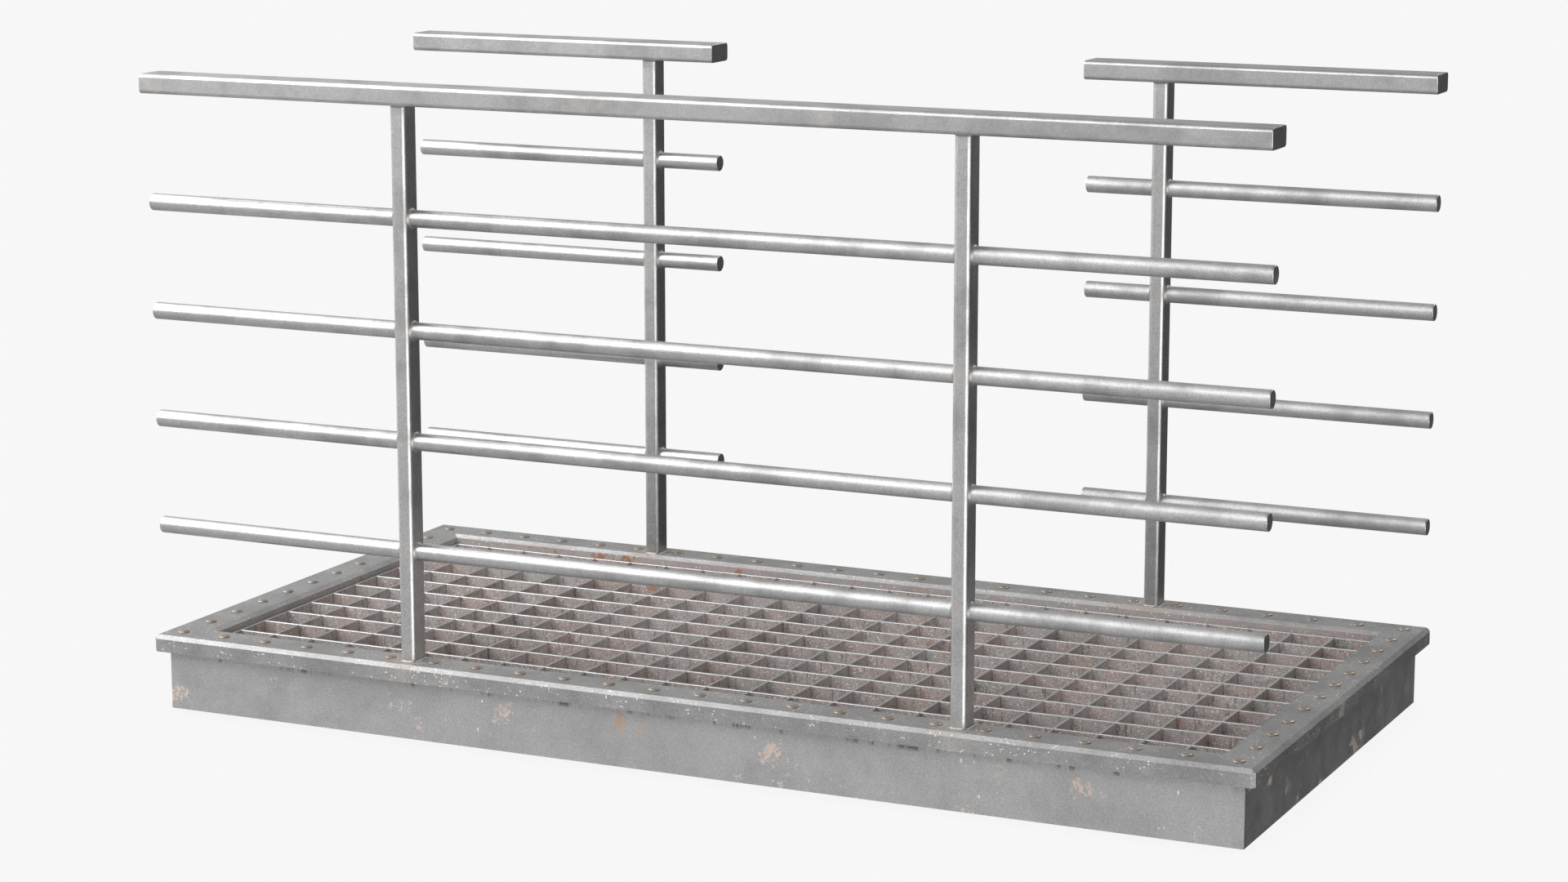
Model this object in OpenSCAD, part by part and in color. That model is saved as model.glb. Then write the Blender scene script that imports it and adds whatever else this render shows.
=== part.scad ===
// Raised walkway section: a steel deck frame with an egg-crate grating,
// a full-length guard rail along the front, and two shorter guard rails
// along the back that leave a way in between them.
// Frame: origin at the middle of the base, X along the deck, +Y towards
// the side with the way in, +Z up. All sizes are in millimetres.

/* [Deck] */
// Length of the deck over its edge caps
deck_length = 2390; // [1900:10:2900]
// Width of the deck over its edge caps
deck_width = 1190; // [950:10:1450]
// Height of the walking surface's edge above the ground
deck_height = 160; // [130:5:220]

/* [Edge caps] */
// Width of the flat border round the grating
edge_width = 90; // [85:1:115]
// Depth of the edge caps' legs
edge_depth = 35; // [28:1:45]
// Wall of the edge caps
edge_wall = 5; // [3:0.5:6]
// Chamfer along the caps' top edges
edge_chamfer = 8; // [4:0.5:10]
// Chamfer down the deck's four upright corners
corner_chamfer = 8; // [3:0.5:12]

/* [Edge beams] */
// Width of the box beams under the edge caps
beam_width = 60; // [48:1:64]
// Wall of the box beams
beam_wall = 3; // [2:0.5:5]

/* [Skirt] */
// Inset of the skirt from the edge caps' outer faces
skirt_inset = 25; // [16:1:30]
// Wall of the skirt channels
skirt_wall = 4; // [2.5:0.5:6]

/* [Grating] */
// Depth of the grating's top below the deck's edge
grating_recess = 20; // [10:1:28]
// Depth of the grating bars
bar_depth = 40; // [30:1:50]
// Thickness of the grating bars
bar_thick = 6; // [3:0.5:8]
// Length of each bar's bearing on its ledge
ledge_bearing = 30; // [20:1:45]
// Thickness of the ledge angles
ledge_thick = 4; // [3:0.5:6]
// Size of the square bearers under the grating
bearer_size = 40; // [25:1:48]
// Wall of the bearers
bearer_wall = 3; // [2:0.5:4]

/* [Guard rails] */
// Inset of the guard rails from the lines of rivets
rail_inset = 8; // [0:1:10]
// Height of the top rail's underside above the deck
top_rail_rise = 1125; // [900:5:1350]
// Width of the top rail, across the deck
top_rail_width = 80; // [66:1:96]
// Height of the top rail's section
top_rail_height = 40; // [32:1:50]
// Wall of the top rail
top_rail_wall = 3; // [2:0.5:5]
// Outside corner radius of the top rail
top_rail_corner = 8; // [5:0.5:10]
// Outside diameter of the mid rails
mid_rail_dia = 35; // [25:0.5:42]
// Wall of the mid rails
mid_rail_wall = 2.5; // [1.5:0.5:4]
// Depth of the posts, across the deck
post_depth = 50; // [50:1:60]
// Width of the posts, along the deck
post_width = 34; // [28:1:38]
// Wall of the posts
post_wall = 3; // [2:0.5:4]
// Outside corner radius of the posts
post_corner = 9; // [4:0.5:10]
// Clear width of the way in at the back
gate_width = 870; // [600:10:1000]
// Thickness of the plates that close the rails' ends
end_plate = 4; // [2:0.5:6]
// Length of the end plates' spigots inside the rails
spigot_length = 12; // [6:1:25]

/* [Fastenings] */
// Diameter of the rivet heads
rivet_head_dia = 24; // [18:1:26]
// Height of the rivet heads
rivet_head_rise = 4.5; // [2:0.5:6]
// Diameter of the rivet shanks
rivet_shank_dia = 10; // [6:0.5:12]
// Diameter of the rivets' closed tails
rivet_tail_dia = 16; // [14:1:20]
// Height of the rivets' closed tails
rivet_tail_rise = 3; // [2:0.5:5]
// Leg of the fillet welds round the mid rails
rail_weld = 4; // [2:0.5:5]
// Leg of the fillet welds at the posts' feet and heads
post_weld = 4; // [2:0.5:5]

/* [Clearances] */
// Gap all round a rail in its post, and a spigot in its rail
slip_gap = 0.3; // [0.1:0.1:0.6]
// Gap on each side of a half-lap between grating bars
lap_gap = 0.2; // [0.1:0.1:0.5]
// Gap between the grating and the deck's opening
grating_gap = 1; // [0.5:0.5:3]
// Gap between an edge beam's end and the chamfer inside the cap's end
beam_end_gap = 2; // [0.5:0.5:4]
// Gap all round a rivet's shank
rivet_gap = 0.1; // [0.05:0.05:0.3]

/* [Hidden] */
$fn = 64;
MID_RAILS = 4;
RIVETS_LONG = 24;
RIVETS_SHORT = 12;
CELLS_LONG = 24;
CELLS_SHORT = 11;
POST_BAYS = 6;
BEARER_CELLS = 6;

RAIL_RUNS = ["front", "back_left", "back_right"];
SIDES = ["front", "back", "left", "right"];
BEARERS = ["left", "middle", "right"];

GALVANISED = [0.72, 0.73, 0.74];
EDGE_GREY = [0.42, 0.43, 0.44];
SKIRT_GREY = [0.52, 0.54, 0.56];
RUSTY_BAR = [0.50, 0.44, 0.42];
HIDDEN_STEEL = [0.38, 0.39, 0.41];
RIVET_TAN = [0.62, 0.54, 0.44];
WELD_GREY = [0.55, 0.54, 0.52];

// half sizes of the deck, of its opening and of the rivet lines
half_l = deck_length / 2;
half_w = deck_width / 2;
open_l = half_l - edge_width;
open_w = half_w - edge_width;
line_x = half_l - edge_width / 2;
line_y = half_w - edge_width / 2;
rivet_step_x = 2 * line_x / (RIVETS_LONG - 1);
rivet_step_y = 2 * line_y / (RIVETS_SHORT - 1);
inner_l = half_l - edge_wall;
inner_w = half_w - edge_wall;

// heights of the deck's layers
cap_foot = deck_height - edge_depth;
beam_height = edge_depth - edge_wall;
flange_foot = cap_foot - skirt_wall;
grating_top = deck_height - grating_recess;
ledge_top = grating_top - bar_depth;
ledge_foot = ledge_top - ledge_thick;

// the beams are centred under the rivet lines
beam_in_x = line_x - beam_width / 2;
beam_in_y = line_y - beam_width / 2;
skirt_x = half_l - skirt_inset;
skirt_y = half_w - skirt_inset;
web_in_x = skirt_x - skirt_wall;
web_in_y = skirt_y - skirt_wall;

cell_x = 2 * open_l / CELLS_LONG;
cell_y = 2 * open_w / CELLS_SHORT;
ledge_tip_x = open_l - ledge_bearing;
ledge_tip_y = open_w - ledge_bearing;
rim_x = open_l - grating_gap;
rim_y = open_w - grating_gap;
rim_in_x = rim_x - bar_thick;
rim_in_y = rim_y - bar_thick;

// posts stand half way between two rivets, a little inside the rivet lines
post_x = POST_BAYS * rivet_step_x;
rail_y = line_y - rail_inset;
rail_step = top_rail_rise / (MID_RAILS + 1);
mid_rail_r = mid_rail_dia / 2;
gate_half = gate_width / 2;
post_top = deck_height + top_rail_rise;

// [where a rail run starts, where it ends, its line across the deck]
function run_span(run) =
    run == "front" ? [-half_l, half_l, -rail_y] :
    run == "back_left" ? [-half_l, -gate_half, rail_y] : [gate_half, half_l, rail_y];
function run_posts(run) =
    run == "front" ? [-post_x, post_x] : run == "back_left" ? [-post_x] : [post_x];
function mid_rail_z(k) = deck_height + k * rail_step;

// a chamfer on the inside of the caps that keeps their wall even
function inner_cut(cut) = max(cut - edge_wall * (2 - sqrt(2)), 0.5);

// each rivet's place, with the corners counted once
RIVET_PLACES = concat(
    [for (i = [0 : RIVETS_LONG - 1], s = [-1, 1]) [i * rivet_step_x - line_x, s * line_y]],
    [for (j = [1 : RIVETS_SHORT - 2], s = [-1, 1]) [s * line_x, j * rivet_step_y - line_y]]
);

// a rectangle with round corners, centred
module rounded_outline(w, h, r) {
    square([w - 2 * r, h], center = true);
    square([w, h - 2 * r], center = true);
    for (x = [-1, 1], y = [-1, 1])
        translate([x * (w / 2 - r), y * (h / 2 - r)]) circle(r);
}

// the section of a box tube with round corners
module tube_section(w, h, wall, r) {
    difference() {
        rounded_outline(w, h, r);
        rounded_outline(w - 2 * wall, h - 2 * wall, max(r - wall, 0.5));
    }
}

// lays a section along X, its own x across the deck and its own y up
module along_x(from, to) {
    translate([from, 0, 0]) rotate([90, 0, 90]) linear_extrude(to - from) children();
}

// lays a section along Y, its own x along the deck and its own y up
module along_y(from, to) {
    translate([0, to, 0]) rotate([90, 0, 0]) linear_extrude(to - from) children();
}

// a box from two corners
module block(low, high) {
    translate(low) cube(high - low);
}

// a slab whose four top edges are cut back at 45 degrees
module chamfered_slab(hx, hy, foot, top, cut) {
    intersection() {
        along_x(-hx, hx)
            polygon([[-hy, foot], [hy, foot], [hy, top - cut], [hy - cut, top],
                     [cut - hy, top], [-hy, top - cut]]);
        along_y(-hy, hy)
            polygon([[-hx, foot], [hx, foot], [hx, top - cut], [hx - cut, top],
                     [cut - hx, top], [-hx, top - cut]]);
    }
}

// a pit whose four top edges open out at 45 degrees
module flared_pit(hx, hy, foot, top, cut) {
    block([-hx, -hy, foot], [hx, hy, top + 1]);
    intersection() {
        along_x(-hx - cut, hx + cut)
            polygon([[-hy, top - cut], [hy, top - cut], [hy + cut, top], [hy + cut, top + 1],
                     [-hy - cut, top + 1], [-hy - cut, top]]);
        along_y(-hy - cut, hy + cut)
            polygon([[-hx, top - cut], [hx, top - cut], [hx + cut, top], [hx + cut, top + 1],
                     [-hx - cut, top + 1], [-hx - cut, top]]);
    }
}

// an upright block with its four corners cut back
module corner_trim(hx, hy, cut) {
    linear_extrude(deck_height + 1)
        polygon([[cut - hx, -hy], [hx - cut, -hy], [hx, cut - hy], [hx, hy - cut],
                 [hx - cut, hy], [cut - hx, hy], [-hx, hy - cut], [-hx, cut - hy]]);
}

module rivet_holes(foot, top) {
    for (place = RIVET_PLACES)
        translate([place.x, place.y, foot])
            cylinder(h = top - foot, d = rivet_shank_dia + 2 * rivet_gap);
}

// the whole border as one pressed shell, open underneath
module edge_shell() {
    difference() {
        intersection() {
            chamfered_slab(half_l, half_w, cap_foot, deck_height, edge_chamfer);
            corner_trim(half_l, half_w, corner_chamfer);
        }
        flared_pit(open_l, open_w, cap_foot - 1, deck_height, edge_chamfer);
        difference() {
            intersection() {
                chamfered_slab(inner_l, inner_w, cap_foot - 1, deck_height - edge_wall,
                               inner_cut(edge_chamfer));
                corner_trim(inner_l, inner_w, inner_cut(corner_chamfer));
            }
            flared_pit(open_l + edge_wall, open_w + edge_wall, cap_foot - 2,
                       deck_height - edge_wall, inner_cut(edge_chamfer));
        }
    }
}

// one side of the border: long caps run through, side caps fit between them
module edge_cap(side) {
    color(EDGE_GREY) difference() {
        intersection() {
            edge_shell();
            if (side == "front")
                block([-half_l, -half_w, cap_foot], [half_l, -open_w, deck_height]);
            if (side == "back")
                block([-half_l, open_w, cap_foot], [half_l, half_w, deck_height]);
            if (side == "left")
                block([-half_l, -open_w, cap_foot], [-open_l, open_w, deck_height]);
            if (side == "right")
                block([open_l, -open_w, cap_foot], [half_l, open_w, deck_height]);
        }
        rivet_holes(cap_foot, deck_height + 1);
    }
}

module edge_beam(side) {
    long = side == "front" || side == "back";
    s = side == "front" || side == "left" ? -1 : 1;
    reach = inner_l - inner_cut(edge_chamfer) - beam_end_gap;
    middle_z = cap_foot + beam_height / 2;
    color(HIDDEN_STEEL) difference() {
        if (long)
            along_x(-reach, reach) translate([s * line_y, middle_z])
                tube_section(beam_width, beam_height, beam_wall, 2 * beam_wall);
        else
            along_y(-beam_in_y, beam_in_y) translate([s * line_x, middle_z])
                tube_section(beam_width, beam_height, beam_wall, 2 * beam_wall);
        rivet_holes(cap_foot - 1, deck_height);
    }
}

// a channel that stands on the ground, its flanges turned in under the beam
module skirt(side) {
    long = side == "front" || side == "back";
    s = side == "front" || side == "left" ? -1 : 1;
    color(SKIRT_GREY) difference() {
        if (long) {
            along_x(-skirt_x, skirt_x)
                translate([s > 0 ? web_in_y : -skirt_y, 0]) square([skirt_wall, cap_foot]);
            along_x(-web_in_x, web_in_x) for (z = [0, flange_foot])
                translate([s > 0 ? beam_in_y : -web_in_y, z])
                    square([web_in_y - beam_in_y, skirt_wall]);
        } else {
            along_y(-web_in_y, web_in_y)
                translate([s > 0 ? web_in_x : -skirt_x, 0]) square([skirt_wall, cap_foot]);
            along_y(-beam_in_y, beam_in_y) for (z = [0, flange_foot])
                translate([s > 0 ? beam_in_x : -web_in_x, z])
                    square([web_in_x - beam_in_x, skirt_wall]);
        }
        rivet_holes(flange_foot - 1, cap_foot + 1);
    }
}

// an angle on the beam's inner face that carries the grating
module ledge(side) {
    long = side == "front" || side == "back";
    s = side == "front" || side == "left" ? -1 : 1;
    rise = deck_height - edge_wall - 2 * beam_wall;
    color(HIDDEN_STEEL)
        if (long) {
            along_x(-beam_in_x, beam_in_x)
                translate([s > 0 ? beam_in_y - ledge_thick : -beam_in_y, ledge_foot])
                    square([ledge_thick, rise - ledge_foot]);
            along_x(ledge_thick - beam_in_x, beam_in_x - ledge_thick)
                translate([s > 0 ? ledge_tip_y : -beam_in_y, ledge_foot])
                    square([beam_in_y - ledge_tip_y, ledge_thick]);
        } else {
            along_y(ledge_thick - beam_in_y, beam_in_y - ledge_thick)
                translate([s > 0 ? beam_in_x - ledge_thick : -beam_in_x, ledge_foot])
                    square([ledge_thick, rise - ledge_foot]);
            along_y(-ledge_tip_y, ledge_tip_y)
                translate([s > 0 ? ledge_tip_x : -beam_in_x, ledge_foot])
                    square([beam_in_x - ledge_tip_x, ledge_thick]);
        }
}

// a square tube between the skirts' webs, coped under the long ledges
module grating_bearer(place) {
    x = (search([place], BEARERS)[0] - 1) * BEARER_CELLS * cell_x;
    color(HIDDEN_STEEL) difference() {
        along_y(-web_in_y, web_in_y) translate([x, ledge_top - bearer_size / 2])
            tube_section(bearer_size, bearer_size, bearer_wall, 2 * bearer_wall);
        for (s = [-1, 1])
            block([x - bearer_size, s > 0 ? ledge_tip_y - grating_gap : -web_in_y - 1,
                   ledge_foot - slip_gap],
                  [x + bearer_size, s > 0 ? web_in_y + 1 : grating_gap - ledge_tip_y,
                   ledge_top + 1]);
    }
}

// a plain bar along each side of the grating, where the others end
module grating_rim() {
    side_y = rim_in_y - lap_gap;
    color(RUSTY_BAR) for (s = [-1, 1]) {
        block([-rim_x, s > 0 ? rim_in_y : -rim_y, ledge_top],
              [rim_x, s > 0 ? rim_y : -rim_in_y, grating_top]);
        block([s > 0 ? rim_in_x : -rim_x, -side_y, ledge_top],
              [s > 0 ? rim_x : -rim_in_x, side_y, grating_top]);
    }
}

// a bar along the deck, slotted from below where the cross bars pass
module grating_long_bar(k) {
    y = k * cell_y - open_w;
    middle = ledge_top + bar_depth / 2;
    color(RUSTY_BAR) difference() {
        block([-rim_in_x, y - bar_thick / 2, ledge_top], [rim_in_x, y + bar_thick / 2, grating_top]);
        for (i = [1 : CELLS_LONG - 1]) {
            x = i * cell_x - open_l;
            block([x - bar_thick / 2 - lap_gap, y - bar_thick, ledge_top - 1],
                  [x + bar_thick / 2 + lap_gap, y + bar_thick, middle + lap_gap]);
        }
    }
}

// the bars across the deck, slotted from above where the long bars pass
module grating_cross_bars() {
    middle = ledge_top + bar_depth / 2;
    color(RUSTY_BAR) for (i = [1 : CELLS_LONG - 1]) {
        x = i * cell_x - open_l;
        difference() {
            block([x - bar_thick / 2, -rim_in_y, ledge_top],
                  [x + bar_thick / 2, rim_in_y, grating_top]);
            for (k = [1 : CELLS_SHORT - 1]) {
                y = k * cell_y - open_w;
                block([x - bar_thick, y - bar_thick / 2 - lap_gap, middle - lap_gap],
                      [x + bar_thick, y + bar_thick / 2 + lap_gap, grating_top + 1]);
            }
        }
    }
}

// a domed head on the cap, a shank through cap, beam and flange, and a flat tail
module deck_rivets() {
    head_r = rivet_head_dia / 2;
    dome_r = (head_r * head_r + rivet_head_rise * rivet_head_rise) / (2 * rivet_head_rise);
    color(RIVET_TAN) for (place = RIVET_PLACES) translate([place.x, place.y, 0]) {
        intersection() {
            translate([0, 0, deck_height + rivet_head_rise - dome_r]) sphere(dome_r);
            translate([0, 0, deck_height]) cylinder(h = rivet_head_rise + 1, r = head_r);
        }
        translate([0, 0, flange_foot]) cylinder(h = deck_height - flange_foot, d = rivet_shank_dia);
        translate([0, 0, flange_foot - rivet_tail_rise])
            cylinder(h = rivet_tail_rise, d = rivet_tail_dia);
    }
}

module top_rail(run) {
    span = run_span(run);
    color(GALVANISED) along_x(span[0] + end_plate, span[1] - end_plate)
        translate([span[2], post_top + top_rail_height / 2])
            tube_section(top_rail_width, top_rail_height, top_rail_wall, top_rail_corner);
}

module mid_rail(run, k) {
    span = run_span(run);
    color(GALVANISED) translate([span[0] + end_plate, span[2], mid_rail_z(k)])
        rotate([0, 90, 0]) difference() {
            cylinder(h = span[1] - span[0] - 2 * end_plate, r = mid_rail_r);
            translate([0, 0, -1])
                cylinder(h = span[1] - span[0] + 2, r = mid_rail_r - mid_rail_wall);
        }
}

// an upright box tube, bored right through for each mid rail
module post(x, y) {
    color(GALVANISED) difference() {
        translate([x, y, deck_height]) linear_extrude(top_rail_rise)
            tube_section(post_width, post_depth, post_wall, post_corner);
        for (k = [1 : MID_RAILS])
            translate([x - post_width, y, mid_rail_z(k)]) rotate([0, 90, 0])
                cylinder(h = 2 * post_width, r = mid_rail_r + slip_gap);
    }
}

// a fillet weld round each mid rail on both faces of each post
module rail_welds() {
    color(WELD_GREY) for (run = RAIL_RUNS, x = run_posts(run), k = [1 : MID_RAILS], s = [-1, 1])
        translate([x + s * post_width / 2, run_span(run)[2], mid_rail_z(k)])
            rotate([0, s * 90, 0]) rotate_extrude()
                polygon([[mid_rail_r, 0], [mid_rail_r + rail_weld, 0], [mid_rail_r, rail_weld]]);
}

// a fillet weld round a post's outline, widest at the bottom
module post_fillet() {
    hx = post_width / 2;
    hy = post_depth / 2;
    difference() {
        union() {
            along_x(post_corner - hx, hx - post_corner)
                polygon([[-hy - post_weld, 0], [hy + post_weld, 0], [hy, post_weld],
                         [-hy, post_weld]]);
            along_y(post_corner - hy, hy - post_corner)
                polygon([[-hx - post_weld, 0], [hx + post_weld, 0], [hx, post_weld],
                         [-hx, post_weld]]);
            for (x = [-1, 1], y = [-1, 1])
                translate([x * (hx - post_corner), y * (hy - post_corner), 0])
                    cylinder(h = post_weld, r1 = post_corner + post_weld, r2 = post_corner);
        }
        translate([0, 0, -1]) linear_extrude(post_weld + 2)
            rounded_outline(post_width, post_depth, post_corner);
    }
}

module post_foot_welds() {
    color(WELD_GREY) for (run = RAIL_RUNS, x = run_posts(run))
        translate([x, run_span(run)[2], deck_height]) post_fillet();
}

module post_head_welds() {
    color(WELD_GREY) for (run = RAIL_RUNS, x = run_posts(run))
        translate([x, run_span(run)[2], post_top]) mirror([0, 0, 1]) post_fillet();
}

// a disc flush with the tube, with a spigot inside it, at both ends of each mid rail
module round_end_plates() {
    bore_r = mid_rail_r - mid_rail_wall;
    color(GALVANISED) for (run = RAIL_RUNS, k = [1 : MID_RAILS], e = [0, 1])
        translate([run_span(run)[e], run_span(run)[2], mid_rail_z(k)])
            rotate([0, e == 0 ? 90 : -90, 0]) {
                cylinder(h = end_plate, r = mid_rail_r);
                cylinder(h = end_plate + spigot_length, r = bore_r - slip_gap);
            }
}

// the same for the top rails, to their own outline
module top_rail_end_plates() {
    inset = 2 * (top_rail_wall + slip_gap);
    corner = max(top_rail_corner - top_rail_wall, 0.5);
    color(GALVANISED) for (run = RAIL_RUNS, e = [0, 1]) {
        at = run_span(run)[e];
        inward = e == 0 ? 1 : -1;
        plate = at + inward * end_plate;
        tip = plate + inward * spigot_length;
        translate([0, run_span(run)[2], post_top + top_rail_height / 2]) {
            along_x(min(at, plate), max(at, plate))
                rounded_outline(top_rail_width, top_rail_height, top_rail_corner);
            along_x(min(at, tip), max(at, tip))
                rounded_outline(top_rail_width - inset, top_rail_height - inset, corner);
        }
    }
}

for (run = RAIL_RUNS)
    top_rail(run);
for (run = RAIL_RUNS, k = [1 : MID_RAILS])
    mid_rail(run, k);
post(-post_x, -rail_y);  // front_left_post
post(post_x, -rail_y);  // front_right_post
post(-post_x, rail_y);  // back_left_post
post(post_x, rail_y);  // back_right_post
for (side = SIDES) {
    edge_cap(side);
    edge_beam(side);
    skirt(side);
    ledge(side);
}
for (place = BEARERS)
    grating_bearer(place);
for (k = [1 : CELLS_SHORT - 1])
    grating_long_bar(k);
grating_cross_bars();
grating_rim();
deck_rivets();
rail_welds();
post_foot_welds();
post_head_welds();
round_end_plates();
top_rail_end_plates();
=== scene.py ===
"""Raised walkway section with guard rails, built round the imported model.

Makes the finished meshes, their steel finishes and a small studio.
"""

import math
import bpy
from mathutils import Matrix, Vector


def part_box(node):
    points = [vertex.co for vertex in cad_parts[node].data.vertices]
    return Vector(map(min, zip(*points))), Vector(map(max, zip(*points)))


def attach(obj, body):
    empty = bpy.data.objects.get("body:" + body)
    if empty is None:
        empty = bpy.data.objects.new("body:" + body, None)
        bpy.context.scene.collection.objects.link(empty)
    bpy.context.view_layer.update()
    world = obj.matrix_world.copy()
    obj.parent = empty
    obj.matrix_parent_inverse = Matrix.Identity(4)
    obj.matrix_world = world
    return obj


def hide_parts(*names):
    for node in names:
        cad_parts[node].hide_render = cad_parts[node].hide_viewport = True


bl_info = {
    "name": "Raised Walkway Section",
    "version": (1, 0, 0),
    "blender": (4, 5, 0),
    "location": "View3D > Sidebar > Walkway",
    "description": "Railed steel walkway section with worn, galvanised and rusted finishes",
    "category": "Add Mesh",
}

import bmesh
import bpy
from bpy.props import FloatProperty, FloatVectorProperty, IntProperty, PointerProperty
from mathutils import Matrix, Vector

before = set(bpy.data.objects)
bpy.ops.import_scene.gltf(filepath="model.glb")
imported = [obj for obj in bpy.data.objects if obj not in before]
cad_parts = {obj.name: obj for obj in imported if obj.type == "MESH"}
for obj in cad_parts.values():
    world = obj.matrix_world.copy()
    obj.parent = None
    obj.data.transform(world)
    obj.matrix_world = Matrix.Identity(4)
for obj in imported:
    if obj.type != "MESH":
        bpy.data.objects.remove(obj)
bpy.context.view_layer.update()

MM = 0.001
BODY = "root"
RUNS = ("front", "back_left", "back_right")
POSTS = ("front_left_post", "front_right_post", "back_left_post", "back_right_post")
SIDES = ("front", "back", "left", "right")
MID_RAILS = 4
LONG_BARS = 10
BEARERS = ("left", "middle", "right")
RIVET_STEP = 100 * MM
SLIP = 0.3 * MM
MERGE = 1e-6
QUARTER_TURN = math.radians(-90)

# heights and lines read from the frame
DECK_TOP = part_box("edge_cap_front")[1].z
CAP_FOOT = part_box("edge_cap_front")[0].z
GRATING_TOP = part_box("grating_cross_bars")[1].z
POST_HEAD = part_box("front_left_post")[1].z


def middle(node):
    low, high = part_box(node)
    return (low + high) / 2


POST_X = middle("front_right_post").x
RAIL_Y = middle("back_left_post").y
OPEN_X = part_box("edge_cap_right")[0].x
OPEN_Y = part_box("edge_cap_back")[0].y


# ---- settings ----


def length(name, description, value, low=0.1, high=50):
    """A length setting, given in millimetres."""
    return FloatProperty(
        name=name, description=description, default=value * MM, min=low * MM, max=high * MM,
        subtype="DISTANCE", unit="LENGTH",
    )


def tint(name, description, *color):
    """A colour setting."""
    return FloatVectorProperty(
        name=name, description=description, default=color, min=0, max=1, subtype="COLOR"
    )


class WalkwayShape(bpy.types.PropertyGroup):
    tube_segments: IntProperty(
        name="Tube segments", description="Sides of each round rail", default=56, min=24, max=96
    )
    corner_segments: IntProperty(
        name="Corner segments", description="Steps round a box tube's corner",
        default=10, min=3, max=16,
    )
    tube_wall: length("Mid rail wall", "Wall of the round rails", 2.5, 1, 5)
    box_wall: length("Box wall", "Wall of the top rails and the posts", 3, 1, 6)
    top_rail_corner: length("Top rail corner", "Outside corner radius of the top rails", 8, 2, 12)
    post_corner: length("Post corner", "Outside corner radius of the posts", 9, 3, 12)
    end_plate: length("End plate", "Thickness of the plates that close the rails", 4, 1, 8)
    plate_edge: length("End plate edge", "Rounding of the closed ends' outer edge", 1.4, 0.3, 3)
    sheet_edge: length("Sheet edge", "Rounding of the border's edges", 1.2, 0.3, 3)
    skirt_edge: length("Skirt edge", "Rounding of the skirt's edges", 1.8, 0.3, 3)
    bar_edge: length("Bar edge", "Rounding of the grating bars' worn edges", 1.9, 0.3, 2.5)


class WalkwayFinish(bpy.types.PropertyGroup):
    galvanised: tint("Galvanised", "Bright zinc coat of the rails and posts", 0.57, 0.57, 0.57)
    galvanised_dull: tint("Dull zinc", "Dulled patches of the zinc coat", 0.40, 0.40, 0.40)
    plate: tint("Border plate", "Grey of the border round the grating", 0.375, 0.375, 0.373)
    # also laid as painted shade on the cross grating bars' tops
    border_grime_and_bar_top_shade: tint("Border grime", "Dark blotches on the border", 0.29, 0.288, 0.286)
    skirt: tint("Skirt", "Blue-grey of the skirt's sheets", 0.50, 0.50, 0.502)
    skirt_dark: tint("Skirt grime", "Darker mottling of the skirt", 0.43, 0.43, 0.433)
    skirt_drip: tint("Skirt drips", "Dark drips under the border's lip", 0.13, 0.095, 0.08)
    bar: tint("Grating", "Rosy brown of the rusted bars", 0.43, 0.36, 0.345)
    bar_grey: tint("Grating steel", "Grey where the bars' rust is thin", 0.40, 0.385, 0.38)
    bar_drip: tint("Grating drips", "Dark drips down the bars' sides", 0.06, 0.045, 0.04)
    bar_pit: tint("Grating pits", "Dark rust pits in the bars", 0.05, 0.035, 0.03)
    rust: tint("Rust", "Orange-brown of fresh rust", 0.36, 0.19, 0.10)
    tan: tint("Tan stain", "Pale tan of thin rust on zinc", 0.40, 0.335, 0.28)
    peach: tint("Peach stain", "Pale rust that shows through the skirt's coat", 0.52, 0.40, 0.33)
    chip: tint("Chips", "Pale, slightly pink crumbs and bare chips", 0.78, 0.70, 0.66)
    rivet: tint("Rivets", "Brassy tan of the rivet heads", 0.36, 0.31, 0.255)
    rivet_foot: tint("Rivet feet", "Dark rust where a rivet meets the plate", 0.10, 0.06, 0.04)
    weld: tint("Welds", "Grey of the weld beads", 0.42, 0.42, 0.42)
    hidden: tint("Under the deck", "Dark steel of the pieces under the deck", 0.12, 0.115, 0.11)
    hidden_rust: tint("Rust under the deck", "Light rust on that steel", 0.16, 0.09, 0.06)


class WalkwayStage(bpy.types.PropertyGroup):
    lens: FloatProperty(
        name="Lens", description="Focal length on a 36 mm wide sensor",
        default=85.18, min=20, max=200,
    )
    camera_place: FloatVectorProperty(
        name="Camera place", description="Where the camera stands",
        default=(3.1686, -6.8294, 2.0386), subtype="TRANSLATION", unit="LENGTH",
    )
    camera_turn: FloatVectorProperty(
        name="Camera turn", description="Euler turn of the camera",
        default=(math.radians(78.917), 0, math.radians(25.062)), subtype="EULER", unit="ROTATION",
    )
    backdrop: tint("Backdrop", "Pale grey-white of the floor and the studio", 0.93, 0.93, 0.93)


# ---- mesh tools ----


def rounded(bm, geom, reach, segments, affect="EDGES"):
    """Rounds edges or corners over, and returns what the rounding made."""
    return bmesh.ops.bevel(
        bm, geom=geom, offset=reach, offset_type="OFFSET", segments=segments,
        profile=0.5, affect=affect, clamp_overlap=True, material=-1,
    )


def outline(bm, across, up, corner, segments):
    """A rectangle with round corners in the YZ plane, facing -X."""
    turn = Matrix.Rotation(QUARTER_TURN, 4, "Y") @ Matrix.Diagonal((up, across, 1, 1))
    made = bmesh.ops.create_grid(bm, x_segments=1, y_segments=1, size=0.5, matrix=turn)
    rounded(bm, made["verts"], corner, segments, "VERTICES")
    return bm.faces[:][-1]


def circle(bm, radius, segments):
    """A disc in the YZ plane, facing -X."""
    turn = Matrix.Rotation(QUARTER_TURN, 4, "Y")
    bmesh.ops.create_circle(bm, cap_ends=True, segments=segments, radius=radius, matrix=turn)
    return bm.faces[:][-1]


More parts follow.
